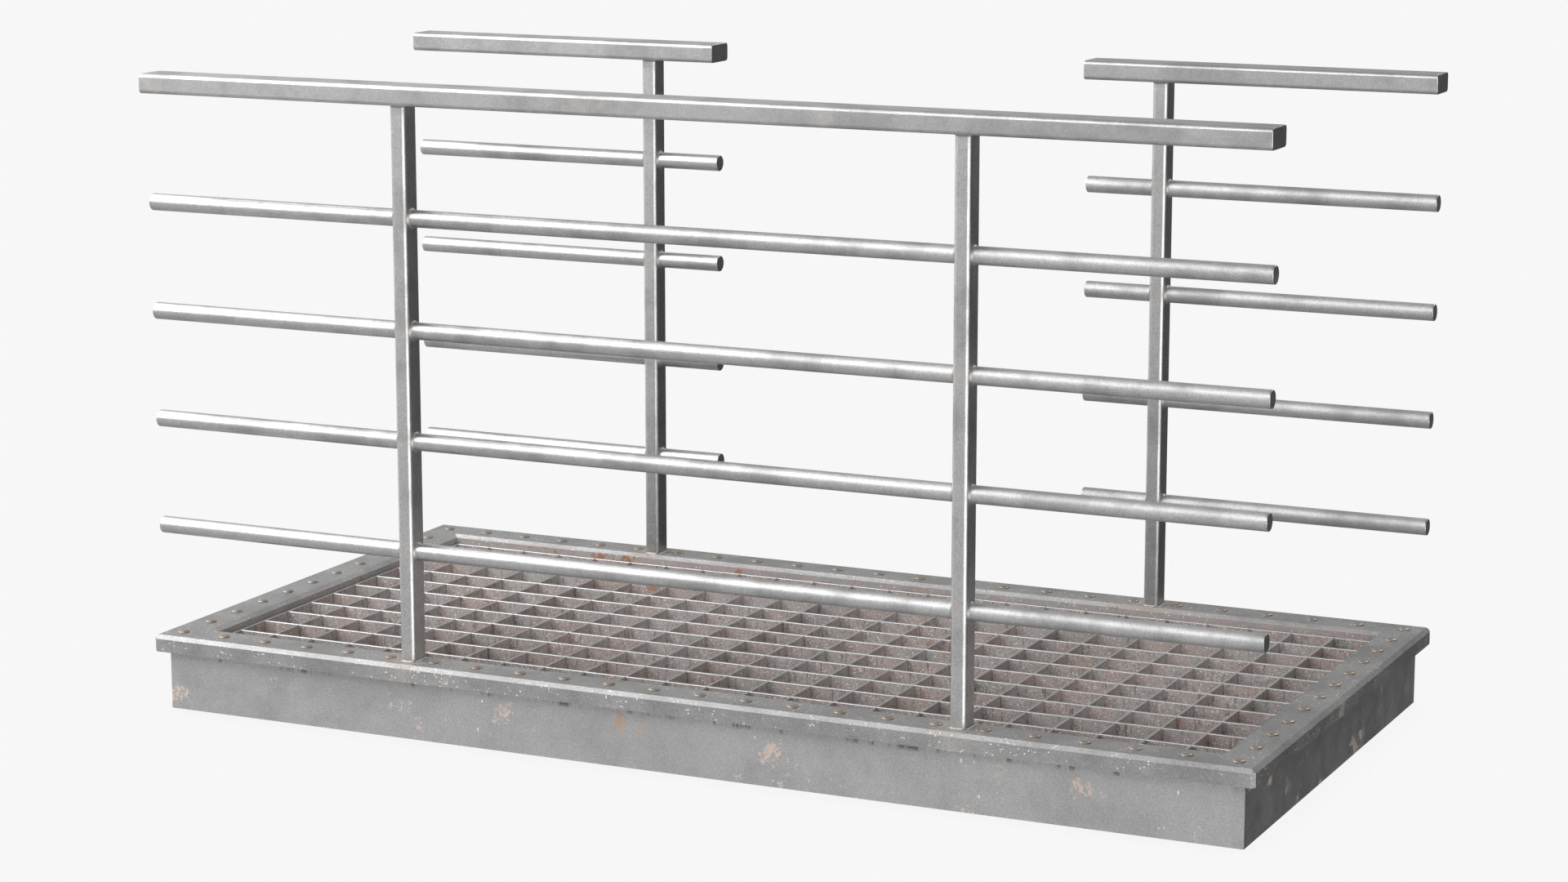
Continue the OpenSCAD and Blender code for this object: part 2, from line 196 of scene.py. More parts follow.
def hollow(bm, face, wall):
    """Leaves a ring of the given width where the face was."""
    made = bmesh.ops.inset_individual(bm, faces=[face], thickness=wall, use_even_offset=True)
    bmesh.ops.delete(bm, geom=[face], context="FACES_ONLY")
    return made["faces"]


def pull(bm, faces, reach):
    """Extrudes faces by a vector and keeps the first faces as the near end."""
    grown = bmesh.ops.extrude_face_region(bm, geom=faces, use_keep_orig=True)
    place(bm, reach, only_verts(grown["geom"]))


def only_verts(geom):
    return [g for g in geom if isinstance(g, bmesh.types.BMVert)]


def place(bm, at, verts=None):
    bmesh.ops.translate(bm, verts=verts or bm.verts[:], vec=at)


def stand_up(bm):
    """Turns what runs along X so that it runs along Z."""
    turn = Matrix.Rotation(QUARTER_TURN, 3, "Y")
    bmesh.ops.rotate(bm, verts=bm.verts[:], cent=(0, 0, 0), matrix=turn)


def join(bm, part):
    """Adds a finished part to a bmesh and frees it."""
    mesh = bpy.data.meshes.new("part")
    part.to_mesh(mesh)
    part.free()
    bm.from_mesh(mesh)
    bpy.data.meshes.remove(mesh)


def outward(bm):
    bmesh.ops.remove_doubles(bm, verts=bm.verts[:], dist=MERGE)
    bmesh.ops.recalc_face_normals(bm, faces=bm.faces[:])


def as_object(name, bm):
    """Turns a bmesh into an object of the scene and frees it."""
    mesh = bpy.data.meshes.new(name)
    bm.to_mesh(mesh)
    bm.free()
    made = bpy.data.objects.new(name, mesh)
    bpy.context.scene.collection.objects.link(made)
    return made


def piece(name, bm, nodes, finish, smooth_angle=35):
    """Turns a finished bmesh into an object that stands for the CAD nodes."""
    made = as_object(name, bm)
    mesh = made.data
    mesh.polygons.foreach_set("use_smooth", [True] * len(mesh.polygons))
    mesh.set_sharp_from_angle(angle=math.radians(smooth_angle))
    mesh.materials.append(finish)
    even = made.modifiers.new("Even shading", "WEIGHTED_NORMAL")
    even.keep_sharp = True
    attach(made, BODY)
    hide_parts(*nodes)
    return made


def rail_tube(node, make_face, wall, finish):
    """A hollow rail along X, in its CAD node's place. make_face draws its outline."""
    low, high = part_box(node)
    bm = bmesh.new()
    pull(bm, hollow(bm, make_face(bm, high - low), wall), (high.x - low.x, 0, 0))
    place(bm, (low.x, (low.y + high.y) / 2, (low.z + high.z) / 2))
    outward(bm)
    piece(node + "_tube", bm, [node], finish)


def softened(node, reach):
    """A copy of a CAD node with its edges rounded over and marked as worn."""
    bm = bmesh.new()
    bm.from_mesh(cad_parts[node].data)
    bmesh.ops.remove_doubles(bm, verts=bm.verts[:], dist=MERGE)
    bmesh.ops.dissolve_limit(
        bm, angle_limit=math.radians(1), verts=bm.verts[:], edges=bm.edges[:],
        use_dissolve_boundaries=False,
    )
    sharp = math.radians(25)
    edges = [e for e in bm.edges if len(e.link_faces) == 2 and e.calc_face_angle() > sharp]
    made = rounded(bm, edges, reach, 2)
    worn = bm.loops.layers.float.new("worn_edge")
    for face in made["faces"]:
        for loop in face.loops:
            loop[worn] = 1.0
    return bm


# ---- node tools ----


def feed(tree, value, socket):
    """Links an output to a socket, or sets the socket to a plain value."""
    if isinstance(value, bpy.types.NodeSocket):
        tree.links.new(value, socket)
    elif socket.type == "RGBA" and len(value) == 3:
        socket.default_value = (*value, 1.0)
    else:
        socket.default_value = value


def add(tree, kind, inputs=None, **fields):
    """Adds a shader node, sets its fields, and sets or links its inputs."""
    node = tree.nodes.new(kind)
    for key, value in fields.items():
        setattr(node, key, value)
    for key, value in (inputs or {}).items():
        feed(tree, value, node.inputs[key])
    return node


def math_node(tree, operation, *values, clamp=False):
    inputs = dict(enumerate(values))
    return add(tree, "ShaderNodeMath", inputs, operation=operation, use_clamp=clamp).outputs[0]


def ramp(tree, value, low, high, start=0.0, end=1.0):
    """Goes smoothly from start at low to end at high."""
    return add(
        tree, "ShaderNodeMapRange",
        {"Value": value, "From Min": low, "From Max": high, "To Min": start, "To Max": end},
        interpolation_type="SMOOTHSTEP", clamp=True,
    ).outputs["Result"]


def smooth_step(tree, value, low, high):
    """0 at low, 1 at high, and smooth between. High may be the lower number."""
    if high < low:
        return ramp(tree, value, high, low, 1.0, 0.0)
    return ramp(tree, value, low, high)


def noise(tree, vector, scale, detail=4.0, rough=0.5, distortion=0.0):
    return add(
        tree, "ShaderNodeTexNoise",
        {"Vector": vector, "Scale": scale, "Detail": detail, "Roughness": rough,
         "Distortion": distortion},
    ).outputs["Fac"]


def blend_colors(tree, factor, first, second, mode="MIX"):
    return add(
        tree, "ShaderNodeMix", {0: factor, 6: first, 7: second}, data_type="RGBA",
        blend_type=mode, clamp_factor=True,
    ).outputs[2]


def group_tree(name, inputs, outputs):
    """An empty node group. Inputs are {name: default}, and None makes a vector."""
    tree = bpy.data.node_groups.new(name, "ShaderNodeTree")
    for key, value in inputs.items():
        kind = "NodeSocketVector" if value is None else "NodeSocketFloat"
        socket = tree.interface.new_socket(name=key, in_out="INPUT", socket_type=kind)
        if value is not None:
            socket.default_value = value
    for key in outputs:
        tree.interface.new_socket(name=key, in_out="OUTPUT", socket_type="NodeSocketFloat")
    return tree, tree.nodes.new("NodeGroupInput").outputs, tree.nodes.new("NodeGroupOutput").inputs


def rust_patches(name):
    """Ragged patches: a broad field cut by a level and frayed by fine noise."""
    tree, given, out = group_tree(
        name, {"Vector": None, "Scale": 6.0, "Level": 0.62, "Soft": 0.06, "Fray": 0.25}, ("Mask",)
    )
    broad = noise(tree, given["Vector"], given["Scale"], 5.0, 0.55)
    fine_scale = math_node(tree, "MULTIPLY", given["Scale"], 14.0)
    fine = noise(tree, given["Vector"], fine_scale, 6.0, 0.7)
    fray = math_node(tree, "MULTIPLY", math_node(tree, "SUBTRACT", fine, 0.5), given["Fray"])
    field = math_node(tree, "ADD", broad, fray)
    high = math_node(tree, "ADD", given["Level"], given["Soft"])
    feed(tree, ramp(tree, field, given["Level"], high), out["Mask"])
    return tree


def chip_specks(name):
    """Sparse small crumbs: only the cells whose own random value is high are kept."""
    tree, given, out = group_tree(
        name, {"Vector": None, "Scale": 160.0, "Keep": 0.9, "Size": 0.35}, ("Mask",)
    )
    cells = add(
        tree, "ShaderNodeTexVoronoi",
        {"Vector": given["Vector"], "Scale": given["Scale"], "Randomness": 1.0},
    ).outputs
    pick = add(tree, "ShaderNodeSeparateColor", {"Color": cells["Color"]}).outputs[0]
    kept = math_node(tree, "GREATER_THAN", pick, given["Keep"])
    near = math_node(tree, "LESS_THAN", cells["Distance"], given["Size"])
    feed(tree, math_node(tree, "MULTIPLY", kept, near), out["Mask"])
    return tree


def metal_grain(name):
    """Fine directional grain over a soft hammered swell, as a height and a tone."""
    tree, given, out = group_tree(
        name, {"Vector": None, "Along": None, "Grain scale": 900.0, "Swell scale": 45.0},
        ("Height", "Tone"),
    )
    brushed = noise(tree, given["Along"], given["Grain scale"], 3.0, 0.6)
    swell = noise(tree, given["Vector"], given["Swell scale"], 3.0, 0.5)
    height = math_node(tree, "ADD", math_node(tree, "MULTIPLY", brushed, 0.35), swell)
    feed(tree, height, out["Height"])
    feed(tree, brushed, out["Tone"])
    return tree


def near_level(name):
    """1 at a level of a coordinate, falling to 0 at the reach on either side."""
    tree, given, out = group_tree(name, {"Value": 0.0, "Level": 0.0, "Reach": 0.03}, ("Mask",))
    gap = math_node(tree, "ABSOLUTE", math_node(tree, "SUBTRACT", given["Value"], given["Level"]))
    share = math_node(tree, "DIVIDE", gap, given["Reach"])
    fade = math_node(tree, "SUBTRACT", 1.0, share, clamp=True)
    feed(tree, math_node(tree, "POWER", fade, 1.6), out["Mask"])
    return tree


def grid_halo(name):
    """Rings round the points of a square grid in X and Y, for stains round rivets."""
    tree, given, out = group_tree(
        name, {"Vector": None, "Pitch": 0.1, "Radius": 0.02, "Soft": 0.01}, ("Mask",)
    )
    split = add(tree, "ShaderNodeSeparateXYZ", {"Vector": given["Vector"]})
    half = math_node(tree, "MULTIPLY", given["Pitch"], 0.5)
    low = math_node(tree, "MULTIPLY", given["Pitch"], -0.5)
    squares = []
    for axis in ("X", "Y"):
        shifted = math_node(tree, "ADD", split.outputs[axis], half)
        wrapped = math_node(tree, "WRAP", shifted, half, low)
        squares.append(math_node(tree, "MULTIPLY", wrapped, wrapped))
    away = math_node(tree, "SQRT", math_node(tree, "ADD", *squares))
    far = math_node(tree, "ADD", given["Radius"], given["Soft"])
    feed(tree, ramp(tree, away, given["Radius"], far, 1.0, 0.0), out["Mask"])
    return tree


def fine_grain(name):
    """A shade that flickers round 1, for the fine salt and pepper of dull metal."""
    tree, given, out = group_tree(name, {"Vector": None, "Scale": 420.0, "Amount": 0.2}, ("Shade",))
    speckle = noise(tree, given["Vector"], given["Scale"], 2.0, 0.7)
    swing = math_node(tree, "MULTIPLY", math_node(tree, "SUBTRACT", speckle, 0.5), 4.0)
    feed(tree, math_node(tree, "MULTIPLY_ADD", swing, given["Amount"], 1.0), out["Shade"])
    return tree


GROUPS = {
    "Fine grain": fine_grain,
    "Rust patches": rust_patches,
    "Chip specks": chip_specks,
    "Metal grain": metal_grain,
    "Near level": near_level,
    "Grid halo": grid_halo,
}


# ---- finishes ----


class Finish:
    """A material laid on coat by coat. Its masks follow the object's own coordinates.

    Colours are named as in the finish settings.
    """

    def __init__(self, name, base):
        self.material = bpy.data.materials.new(name)
        self.material.use_nodes = True
        self.tree = self.material.node_tree
        self.coords = add(self.tree, "ShaderNodeTexCoord").outputs["Object"]
        self.at = self.stretched(1, 1, 1)
        self.color = self.tone(base)

    def tone(self, name):
        return getattr(bpy.context.scene.walkway_finish, name)

    def stretched(self, *scale):
        """The coordinates, stretched by the scale."""
        return add(
            self.tree, "ShaderNodeMapping", {"Vector": self.coords, "Scale": scale}
        ).outputs["Vector"]

    def axis(self, letter):
        return add(self.tree, "ShaderNodeSeparateXYZ", {"Vector": self.coords}).outputs[letter]

    def math(self, operation, *values, clamp=False):
        return math_node(self.tree, operation, *values, clamp=clamp)

    def times(self, first, second):
        return self.math("MULTIPLY", first, second)

    def plus(self, first, second):
        return self.math("ADD", first, second)

    def step(self, value, low, high):
        return smooth_step(self.tree, value, low, high)

    def any_of(self, *masks):
        """The strongest of several masks."""
        total = masks[0]
        for mask in masks[1:]:
            total = self.math("MAXIMUM", total, mask)
        return total

    def between(self, mask, first, second):
        """The first value where the mask is 0 and the second where it is 1."""
        return add(
            self.tree, "ShaderNodeMix", {0: mask, 2: first, 3: second}, data_type="FLOAT",
            clamp_factor=True,
        ).outputs[0]

    def cloud(self, scale, detail, rough, low, high, at=None, distortion=0.0):
        """Noise of a scale, detail and roughness, cut to 0 below low and to 1 above high."""
        at = self.at if at is None else at
        return self.step(noise(self.tree, at, scale, detail, rough, distortion), low, high)

    def shared(self, name, **inputs):
        """The outputs of a shared group, with its inputs set by plain names."""
        made = bpy.data.node_groups.get(name) or GROUPS[name](name)
        node = add(self.tree, "ShaderNodeGroup", node_tree=made)
        for key, value in {"vector": self.at, **inputs}.items():
            socket = node.inputs.get(key.replace("_", " ").capitalize())
            if socket:
                feed(self.tree, value, socket)
        return node.outputs

    def patches(self, scale, level, soft, fray):
        """Ragged rust patches where the noise passes a level, with soft or frayed edges."""
        return self.shared("Rust patches", scale=scale, level=level, soft=soft, fray=fray)["Mask"]

    def chips(self, scale, keep, size, at=None):
        """Crumbs and nicks: keep is the share left out, and size is a share of a cell."""
        at = self.at if at is None else at
        return self.shared("Chip specks", vector=at, scale=scale, keep=keep, size=size)["Mask"]

    def worn(self, scale, low, high):
        """The rounded edges that the mesh marks as worn, broken up by noise."""
        marked = add(self.tree, "ShaderNodeAttribute", attribute_name="worn_edge").outputs["Fac"]
        return self.times(marked, self.cloud(scale, 5.0, 0.7, low, high))

    def lay(self, mask, tone, amount=None):
        """Lays a colour over the present one where the mask says."""
        if amount is not None:
            mask = self.times(mask, amount)
        self.color = blend_colors(self.tree, mask, self.color, self.tone(tone))

    def speckle(self, scale, amount):
        """Flecks the present colour with fine grain."""
        shade = self.shared("Fine grain", scale=scale, amount=amount)["Shade"]
        self.color = blend_colors(self.tree, 1.0, self.color, shade, "MULTIPLY")

    def done(self, metallic, roughness, height, strength, depth):
        """Joins all to the shader and returns the material. The bump's depth is in mm."""
        shader = self.tree.nodes["Principled BSDF"]
        bump = add(
            self.tree, "ShaderNodeBump",
            {"Height": height, "Strength": strength, "Distance": depth * MM},
        )
        parts = {
            "Base Color": self.color, "Metallic": metallic, "Roughness": roughness,
            "Normal": bump.outputs["Normal"],
        }
        for key, value in parts.items():
            feed(self.tree, value, shader.inputs[key])
        return self.material


def galvanised(name, along, stained=False, patches=0.66, weathered=0.0):
    """Zinc-coated tube, finely brushed across its run; posts are stained at their joints."""
    coat = Finish(name, "galvanised")
    across = {"X": (1.0, 0.16, 0.16), "Z": (0.16, 0.16, 1.0)}[along]
    grain = coat.shared("Metal grain", along=coat.stretched(*across), grain_scale=900.0)
    dull = coat.cloud(9.0, 6.0, 0.6, 0.42, 0.68)
    coat.lay(dull, "galvanised_dull")
    coat.lay(coat.cloud(140.0, 3.0, 0.65, 0.40, 0.75), "galvanised_dull", 0.30)
    coat.speckle(380.0, 0.22)
    stain = coat.times(coat.patches(5.0, patches, 0.05, 0.22), 0.3)
    if stained:
        z = coat.axis("Z")
        levels = [(middle(f"front_mid_rail_{k}").z, 34 * MM) for k in range(1, MID_RAILS + 1)]
        levels += [(DECK_TOP, 55 * MM), (POST_HEAD, 45 * MM)]
        near = [
            coat.shared("Near level", value=z, level=level, reach=reach)["Mask"]
            for level, reach in levels
        ]
        joint = coat.times(coat.any_of(*near), coat.cloud(38.0, 6.0, 0.65, 0.38, 0.60))
        stain = coat.any_of(stain, coat.times(joint, 0.4))
    coat.lay(stain, "tan")
    rough = coat.plus(coat.between(grain["Tone"], 0.26, 0.44), coat.times(dull, 0.06))
    rough = coat.math("ADD", rough, coat.times(stain, 0.2), clamp=True)
    if weathered:
        far = coat.step(coat.axis("X"), -0.2, 0.8)
        rough = coat.math("MULTIPLY_ADD", far, weathered, rough)
    return coat.done(coat.between(stain, 0.95, 0.35), rough, grain["Height"], 0.6, 0.8)


def border_plate(name):
    """Worn grey plate: blotches, pale crumbs, rust round the rivets and the posts' feet."""
    coat = Finish(name, "border_grime_and_bar_top_shade")
    x, y = coat.axis("X"), coat.math("ABSOLUTE", coat.axis("Y"))
    coat.lay(coat.cloud(7.0, 7.0, 0.62, 0.36, 0.62), "plate")
    fine = coat.cloud(120.0, 5.0, 0.7, 0.35, 0.72)
    coat.lay(fine, "galvanised_dull", 0.35)
    halo = coat.shared("Grid halo", pitch=RIVET_STEP, radius=9 * MM, soft=12 * MM)["Mask"]
    feet = []
    for post_x in (-POST_X, POST_X):
        gaps = [coat.math("SUBTRACT", x, post_x), coat.math("SUBTRACT", y, RAIL_Y)]
        square = coat.plus(*[coat.math("POWER", gap, 2.0) for gap in gaps])
        feet.append(coat.step(coat.math("SQRT", square), 75 * MM, 25 * MM))
    ragged = coat.cloud(55.0, 6.0, 0.7, 0.34, 0.60)
    around = coat.times(coat.any_of(coat.times(halo, 0.55), *feet), ragged)
    stain = coat.any_of(around, coat.times(coat.patches(7.0, 0.655, 0.06, 0.35), 0.6))
    coat.lay(stain, "tan", 0.8)
    inside = coat.times(
        coat.step(coat.math("ABSOLUTE", x), OPEN_X + 4 * MM, OPEN_X),
        coat.step(y, OPEN_Y + 4 * MM, OPEN_Y),
    )
    coat.lay(coat.times(inside, coat.cloud(16.0, 6.0, 0.65, 0.38, 0.58)), "bar", 0.8)
    coat.lay(coat.times(inside, coat.patches(9.0, 0.62, 0.05, 0.4)), "rust")
    coat.speckle(360.0, 0.27)
    crumbs = coat.times(coat.chips(250.0, 0.93, 0.42), coat.cloud(7.0, 4.0, 0.6, 0.42, 0.52))
    coat.lay(crumbs, "chip")
    coat.lay(coat.worn(60.0, 0.30, 0.55), "galvanised", 0.55)
    metallic = coat.between(coat.any_of(stain, crumbs, inside), 0.75, 0.15)
    rough = coat.plus(coat.between(fine, 0.42, 0.55), coat.times(stain, 0.2))
    return coat.done(metallic, rough, coat.plus(fine, coat.times(crumbs, 2.0)), 0.35, 0.5)


def skirt_sheet(name):
    """Blue-grey sheet, mottled, with faint upright streaks, drips under the lip and rust spots."""
    coat = Finish(name, "skirt_dark")
    upright = coat.stretched(1.0, 1.0, 0.07)
    coat.lay(coat.cloud(5.0, 8.0, 0.62, 0.36, 0.62, distortion=0.4), "skirt")
    fine = coat.cloud(26.0, 6.0, 0.65, 0.35, 0.70)
    coat.lay(fine, "galvanised_dull", 0.35)
    coat.lay(coat.cloud(42.0, 5.0, 0.6, 0.50, 0.72, upright), "skirt_dark", 0.28)
    coat.speckle(340.0, 0.24)
    under = coat.step(coat.axis("Z"), CAP_FOOT - 19 * MM, CAP_FOOT - 10 * MM)
    drips = coat.times(coat.cloud(19.0, 7.0, 0.8, 0.53, 0.60, upright), under)
    coat.lay(drips, "skirt_drip", 0.75)
    patches = coat.patches(9.0, 0.635, 0.05, 0.6)
    coat.lay(patches, "peach", 0.8)
    spots = coat.patches(15.0, 0.70, 0.04, 0.5)
    coat.lay(spots, "rust", 0.7)
    nicks = coat.chips(190.0, 0.975, 0.32, coat.stretched(1.0, 1.0, 0.4))
    nicks = coat.times(nicks, coat.cloud(5.0, 3.0, 0.5, 0.52, 0.60))
    coat.lay(nicks, "chip")
    coat.lay(coat.worn(40.0, 0.30, 0.50), "galvanised", 0.8)
    rusted = coat.any_of(patches, spots, nicks)
    rough = coat.plus(coat.between(fine, 0.46, 0.60), coat.times(rusted, 0.2))
    height = coat.plus(fine, coat.times(nicks, -1.5))
    return coat.done(coat.between(rusted, 0.9, 0.1), rough, height, 0.3, 0.5)


def grating_steel(name, edge_wear_and_highlight, bare_top_and_highlight, painted_top_shade):
    """Rusted flat bar: rosy brown with grey patches, drips down its sides and worn top edges; its
    bare tops and bright edges are partly painted highlight, its dark tops painted shade.
    """
    coat = Finish(name, "bar")
    top = coat.step(coat.axis("Z"), GRATING_TOP - 3 * MM, GRATING_TOP - 1 * MM)
    coat.lay(coat.cloud(8.0, 7.0, 0.65, 0.42, 0.60), "bar_grey")
    fine = coat.cloud(90.0, 6.0, 0.7, 0.32, 0.70)
    coat.lay(fine, "tan", 0.3)
    coat.speckle(330.0, 0.5)
    upright = coat.stretched(1.0, 1.0, 0.15)
    coat.lay(coat.cloud(110.0, 4.0, 0.7, 0.55, 0.68, upright), "bar_drip", 0.55)
    pits = coat.cloud(220.0, 4.0, 0.7, 0.60, 0.68)
    coat.lay(pits, "bar_pit", 0.6)
    coat.lay(coat.patches(20.0, 0.66, 0.04, 0.5), "rust", 0.7)
    coat.lay(coat.chips(260.0, 0.90, 0.45), "chip", 0.8)
    # bare tops: partly wear, partly a painted highlight where the strength is high
    bare = coat.times(coat.times(top, coat.cloud(30.0, 5.0, 0.7, 0.30, 0.52)), bare_top_and_highlight)
    coat.lay(bare, "galvanised_dull")
    # painted shade on the tops, strong on the cross bars
    coat.lay(top, "border_grime_and_bar_top_shade", painted_top_shade)
    # worn edges, brighter on the long bars as a painted highlight
    edge = coat.times(coat.worn(70.0, 0.22, 0.45), edge_wear_and_highlight)
    coat.lay(edge, "galvanised")
    bright = coat.any_of(bare, edge)
    height = coat.plus(fine, coat.times(pits, -1.0))
    return coat.done(
        coat.between(bright, 0.15, 0.9), coat.between(bright, 0.62, 0.36), height, 0.4, 0.6
    )


def rivet_metal(name):
    """Brassy tan rivet heads, darker and rusty where they meet the plate."""
    coat = Finish(name, "rivet")
    coat.lay(coat.cloud(60.0, 5.0, 0.65, 0.35, 0.65), "tan")
    coat.lay(coat.cloud(13.0, 3.0, 0.5, 0.46, 0.60), "galvanised_dull", 0.55)
    coat.lay(coat.step(coat.axis("Z"), DECK_TOP + 1.6 * MM, DECK_TOP), "rivet_foot", 0.8)
    fine = noise(coat.tree, coat.at, 420.0, 3.0, 0.6)
    return coat.done(0.8, coat.between(fine, 0.30, 0.50), fine, 0.3, 0.3)


def weld_metal(name):
    """Grey weld bead with a patchy heat and rust tint."""
    coat = Finish(name, "weld")
    coat.lay(coat.cloud(70.0, 5.0, 0.65, 0.40, 0.66), "tan", 0.35)
    fine = noise(coat.tree, coat.at, 500.0, 3.0, 0.6)
    return coat.done(0.9, coat.between(fine, 0.40, 0.60), fine, 0.4, 0.4)


def hidden_steel(name):
    """Plain dark steel, lightly rusted, for what is under the deck."""
    coat = Finish(name, "hidden")
    coat.lay(coat.cloud(12.0, 7.0, 0.65, 0.42, 0.60), "hidden_rust", 0.8)
    fine = noise(coat.tree, coat.at, 160.0, 5.0, 0.65)
    return coat.done(0.4, coat.between(fine, 0.5, 0.75), fine, 0.4, 0.5)


# ---- pieces ----


class WALKWAY_OT_top_rails(bpy.types.Operator):
    """Build the three top rails as hollow box tubes with round corners"""

    bl_idname = "walkway.top_rails"
    bl_label = "Top Rails"

    def execute(self, context):
        shape = context.scene.walkway_shape
        finish = galvanised("Zinc top rail", "X", patches=0.60)

        def section(bm, size):
            return outline(bm, size.y, size.z, shape.top_rail_corner, shape.corner_segments)

        for run in RUNS:
            rail_tube(run + "_top_rail", section, shape.box_wall, finish)
        return {"FINISHED"}


class WALKWAY_OT_mid_rails(bpy.types.Operator):
    """Build the round mid rails as hollow tubes"""

    bl_idname = "walkway.mid_rails"
    bl_label = "Mid Rails"

    def execute(self, context):
        shape = context.scene.walkway_shape
        finish = galvanised("Zinc mid rail", "X", patches=0.70, weathered=0.16)

        def section(bm, size):
            return circle(bm, size.z / 2, shape.tube_segments)

        for run in RUNS:
            for k in range(1, MID_RAILS + 1):
                rail_tube(f"{run}_mid_rail_{k}", section, shape.tube_wall, finish)
        return {"FINISHED"}


class WALKWAY_OT_posts(bpy.types.Operator):
    """Build the posts as hollow box tubes, bored for the mid rails"""

    bl_idname = "walkway.posts"
    bl_label = "Posts"

    def execute(self, context):
        shape = context.scene.walkway_shape
        finish = galvanised("Zinc post", "Z", stained=True, patches=0.68)
        for node in POSTS:
            low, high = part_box(node)
            size, centre = high - low, (low + high) / 2
            bm = bmesh.new()
            face = outline(bm, size.y, size.x, shape.post_corner, shape.corner_segments)
            pull(bm, hollow(bm, face, shape.box_wall), (size.z, 0, 0))
            stand_up(bm)
            place(bm, (centre.x, centre.y, low.z))
            outward(bm)
            made = piece(node + "_tube", bm, [node], finish)
            self.bore(made, centre, size.x, shape)
        return {"FINISHED"}

    def bore(self, post, centre, width, shape):
        """Cuts a round hole through both walls for each mid rail."""
        bm = bmesh.new()
        for k in range(1, MID_RAILS + 1):
            low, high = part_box(f"front_mid_rail_{k}")
            old = set(bm.verts)
            face = circle(bm, (high.z - low.z) / 2 + SLIP, shape.tube_segments)
            pull(bm, [face], (2 * width, 0, 0))
            fresh = [v for v in bm.verts if v not in old]
            place(bm, (centre.x - width, centre.y, (low.z + high.z) / 2), fresh)
        outward(bm)
        cutter = as_object("bore", bm)
        mesh = cutter.data
        cut = post.modifiers.new("Bores", "BOOLEAN")
        cut.operation = "DIFFERENCE"
        cut.solver = "EXACT"
        cut.object = cutter
        post.modifiers.move(len(post.modifiers) - 1, 0)
        bpy.context.view_layer.update()
        with bpy.context.temp_override(object=post, active_object=post, selected_objects=[post]):
            bpy.ops.object.modifier_apply(modifier="Bores")
        bpy.data.objects.remove(cutter)
        bpy.data.meshes.remove(mesh)


# steps across a bead and round a rail, how far a bead hollows in, and its ripples
BEAD_STEPS = 6
RING_STEPS = 72
BEAD_HOLLOW = 0.86
RAIL_RIPPLES = 30
RAIL_RIPPLE = 0.22 * MM
POST_RIPPLE = 0.25 * MM
POST_RIPPLE_RATE = 0.9 / MM


def ripple(verts, centre):
    """Swells a bead in and out as it goes round a rail's axis."""
    for vert in verts:
        away = vert.co - centre
        push = math.sin(RAIL_RIPPLES * math.atan2(away.z, away.y)) * RAIL_RIPPLE
        vert.co += away.normalized() * push


